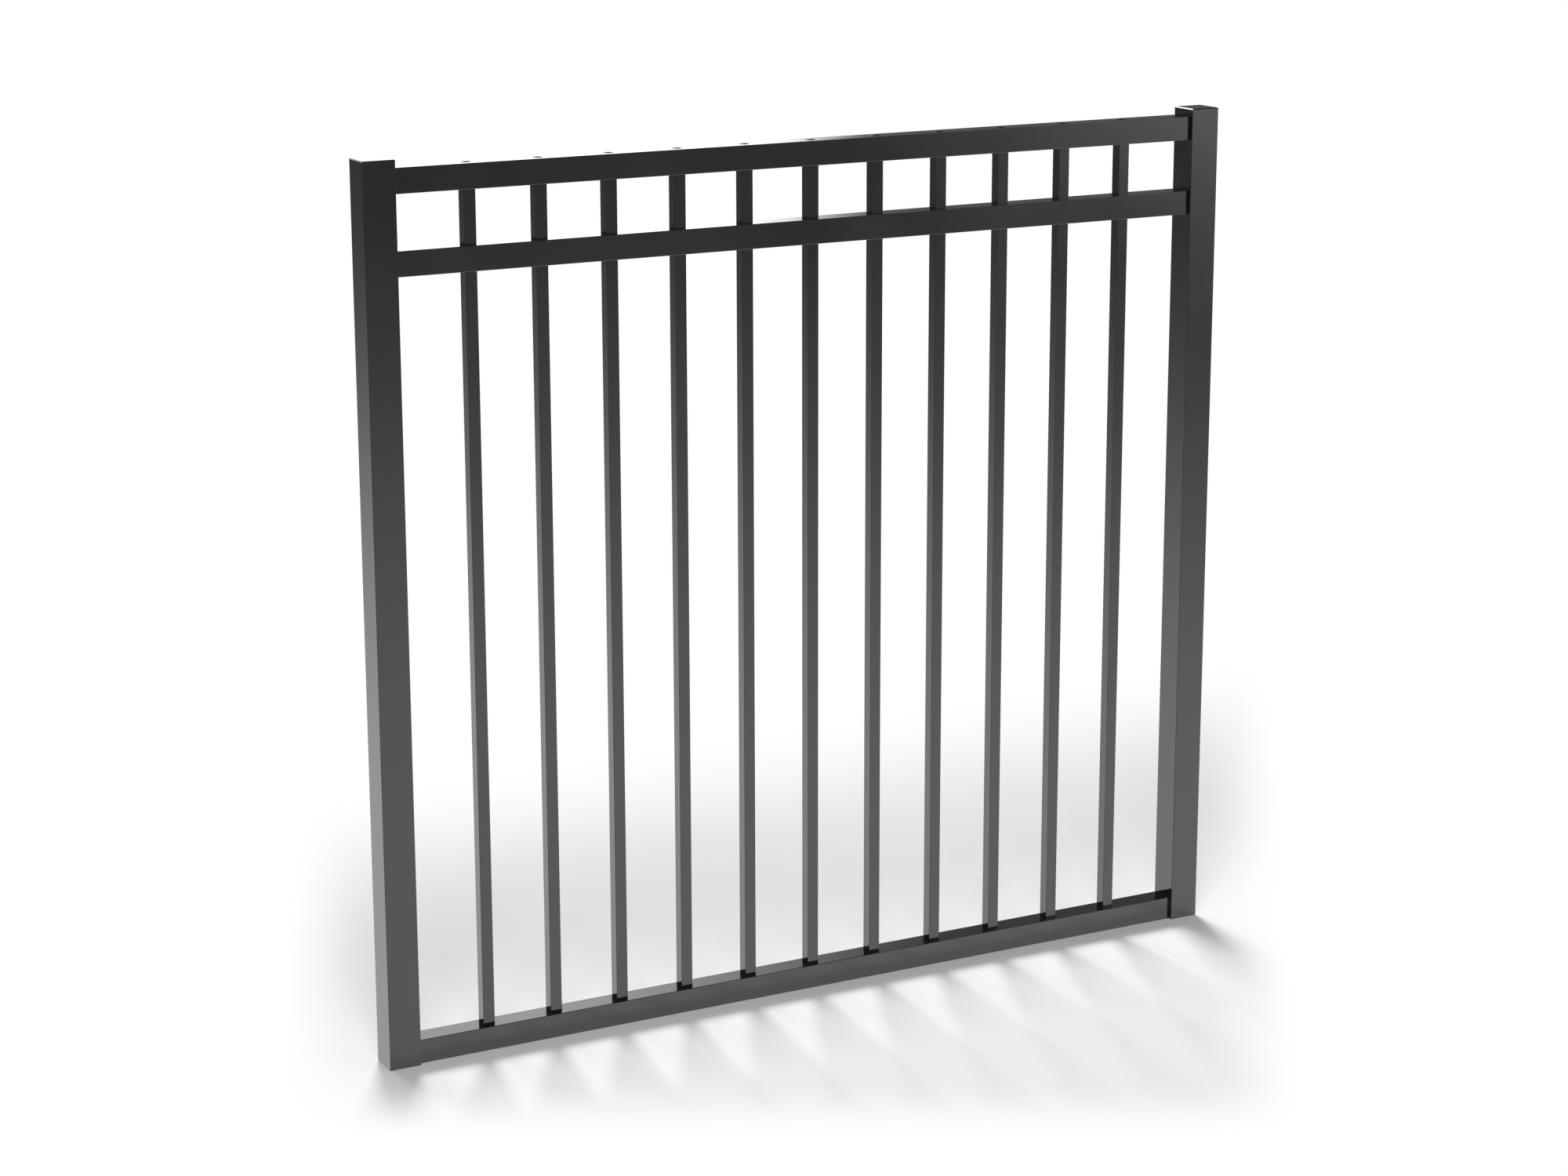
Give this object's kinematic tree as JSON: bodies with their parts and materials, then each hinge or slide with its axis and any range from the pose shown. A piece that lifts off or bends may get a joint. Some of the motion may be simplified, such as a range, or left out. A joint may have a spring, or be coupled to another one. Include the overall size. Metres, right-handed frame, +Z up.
{
  "type": "pool gate",
  "caption": "Flat-topped open picket gate of square aluminium tube: two end uprights, three rails and slim pickets that close off a walkway round a pool.",
  "frame": {"origin": "foot of the left upright, in the middle of its outer flat face, where the hinges fasten", "axes": "+X across the gate to the right upright, +Y to the back, +Z up"},
  "size_m": [1.4859, 0.0508, 1.3843],
  "materials": {
    "black_coated_aluminium": "smooth gloss black powder coat on extruded aluminium",
    "black_plastic": "moulded black plastic, smooth"
  },
  "bodies": {
    "root": {"left_upright": "black_coated_aluminium", "right_upright": "black_coated_aluminium", "left_cap": "black_plastic", "right_cap": "black_plastic", "top_rail": "black_coated_aluminium", "middle_rail": "black_coated_aluminium", "bottom_rail": "black_coated_aluminium", "picket_01": "black_coated_aluminium", "picket_02": "black_coated_aluminium", "picket_03": "black_coated_aluminium", "picket_04": "black_coated_aluminium", "picket_05": "black_coated_aluminium", "picket_06": "black_coated_aluminium", "picket_07": "black_coated_aluminium", "picket_08": "black_coated_aluminium", "picket_09": "black_coated_aluminium", "picket_10": "black_coated_aluminium", "picket_11": "black_coated_aluminium", "hole_plug_01": "black_plastic", "hole_plug_02": "black_plastic", "hole_plug_03": "black_plastic", "hole_plug_04": "black_plastic", "hole_plug_05": "black_plastic", "hole_plug_06": "black_plastic", "hole_plug_07": "black_plastic", "hole_plug_08": "black_plastic", "hole_plug_09": "black_plastic", "hole_plug_10": "black_plastic", "hole_plug_11": "black_plastic"}
  },
  "joints": []
}
